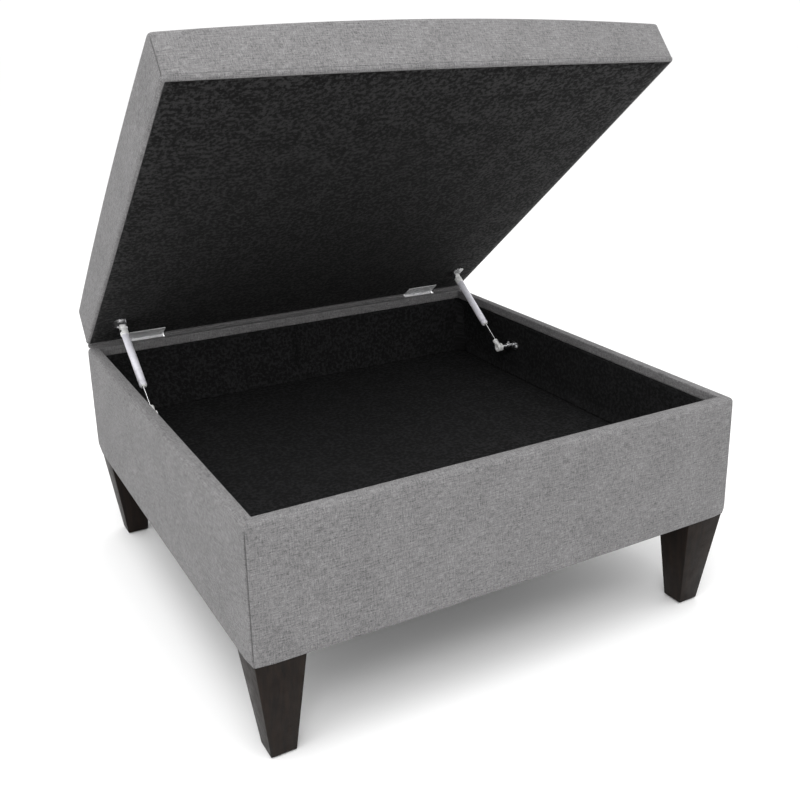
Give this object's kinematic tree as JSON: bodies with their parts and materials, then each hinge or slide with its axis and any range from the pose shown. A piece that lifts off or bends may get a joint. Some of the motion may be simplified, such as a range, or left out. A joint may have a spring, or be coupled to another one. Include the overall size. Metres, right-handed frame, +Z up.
{
  "type": "storage ottoman",
  "caption": "Square upholstered storage ottoman: a box on tapered wooden legs under a thick cushioned lid that hinges at the back and is held open by gas struts.",
  "frame": {"origin": "the middle of the bottom of the overall box, on the floor, with the lid open as in the picture", "axes": "+X across the front from the left strut to the right one, +Y from the front to the hinges at the back, +Z up"},
  "size_m": [0.9144, 0.9778, 1.0546],
  "materials": {
    "upholstery_fabric": "matte",
    "black_cloth": "matte",
    "wadding": "matte",
    "foam": "matte",
    "board_wood": "satin",
    "leg_wood": "satin",
    "zinc_steel": "satin",
    "strut_paint": "satin",
    "rod_chrome": "polished",
    "collar_metal": "satin",
    "dark_plastic": "matte"
  },
  "bodies": {
    "base": {"back_batting": "wadding", "back_panel": "board_wood", "bottom_dust_cover": "black_cloth", "box_cover": "upholstery_fabric", "corner_blocks": "board_wood", "deck_board": "board_wood", "deck_cleats": "board_wood", "deck_lining": "black_cloth", "front_batting": "wadding", "front_panel": "board_wood", "hinge_box_screws": "zinc_steel", "hinge_left_box_leaf": "zinc_steel", "hinge_left_pin": "zinc_steel", "hinge_right_box_leaf": "zinc_steel", "hinge_right_pin": "zinc_steel", "left_batting": "wadding", "left_panel": "board_wood", "leg_back_left": "leg_wood", "leg_back_right": "leg_wood", "leg_front_left": "leg_wood", "leg_front_right": "leg_wood", "leg_glides": "dark_plastic", "leg_hanger_bolts": "zinc_steel", "leg_plates": "zinc_steel", "right_batting": "wadding", "right_panel": "board_wood", "strut_wall_bracket_left": "zinc_steel", "strut_wall_bracket_right": "zinc_steel", "wall_bracket_screws": "zinc_steel", "wall_lining": "black_cloth"},
    "lid": {"hinge_left_lid_leaf": "zinc_steel", "hinge_lid_screws": "zinc_steel", "hinge_right_lid_leaf": "zinc_steel", "lid_band_cover": "upholstery_fabric", "lid_board": "board_wood", "lid_bracket_screws": "zinc_steel", "lid_dust_cover": "black_cloth", "lid_foam": "foam", "lid_top_cover": "upholstery_fabric", "strut_lid_bracket_left": "zinc_steel", "strut_lid_bracket_right": "zinc_steel"},
    "strut_left_tube": {"strut_left_lid_socket": "collar_metal", "strut_left_tube": "strut_paint", "strut_left_guide": "collar_metal"},
    "strut_left_rod": {"strut_left_rod": "rod_chrome", "strut_left_piston": "dark_plastic", "strut_left_rod_socket": "collar_metal"},
    "strut_right_tube": {"strut_right_lid_socket": "collar_metal", "strut_right_tube": "strut_paint", "strut_right_guide": "collar_metal"},
    "strut_right_rod": {"strut_right_rod": "rod_chrome", "strut_right_piston": "dark_plastic", "strut_right_rod_socket": "collar_metal"}
  },
  "joints": [
    {"name": "lid_hinge", "type": "hinge", "parent": "base", "child": "lid", "pos_m": [0, 0.42947, 0.4062], "axis": [-1, 0, 0], "range_deg": [-38.3, 0]},
    {"name": "strut_left_lid_pivot", "type": "hinge", "parent": "lid", "child": "strut_left_tube", "pos_m": [-0.398, 0.3476, 0.46066], "axis": [-1, 0, 0], "range_deg": [0, 51.83]},
    {"name": "strut_left_slide", "type": "slide", "parent": "strut_left_tube", "child": "strut_left_rod", "axis": [0, -0.8218, -0.5698], "range_m": [-0.04385, 0]},
    {"name": "strut_right_lid_pivot", "type": "hinge", "parent": "lid", "child": "strut_right_tube", "pos_m": [0.398, 0.3476, 0.46066], "axis": [-1, 0, 0], "range_deg": [0, 51.83]},
    {"name": "strut_right_slide", "type": "slide", "parent": "strut_right_tube", "child": "strut_right_rod", "axis": [0, -0.8218, -0.5698], "range_m": [-0.04385, 0]}
  ],
  "couplings": [
    {"joint": "strut_left_lid_pivot", "follows": "lid_hinge", "ratio": -1.3531},
    {"joint": "strut_left_slide", "follows": "lid_hinge", "m_per_rad": 0.065599},
    {"joint": "strut_right_lid_pivot", "follows": "lid_hinge", "ratio": -1.3531},
    {"joint": "strut_right_slide", "follows": "lid_hinge", "m_per_rad": 0.065599}
  ]
}
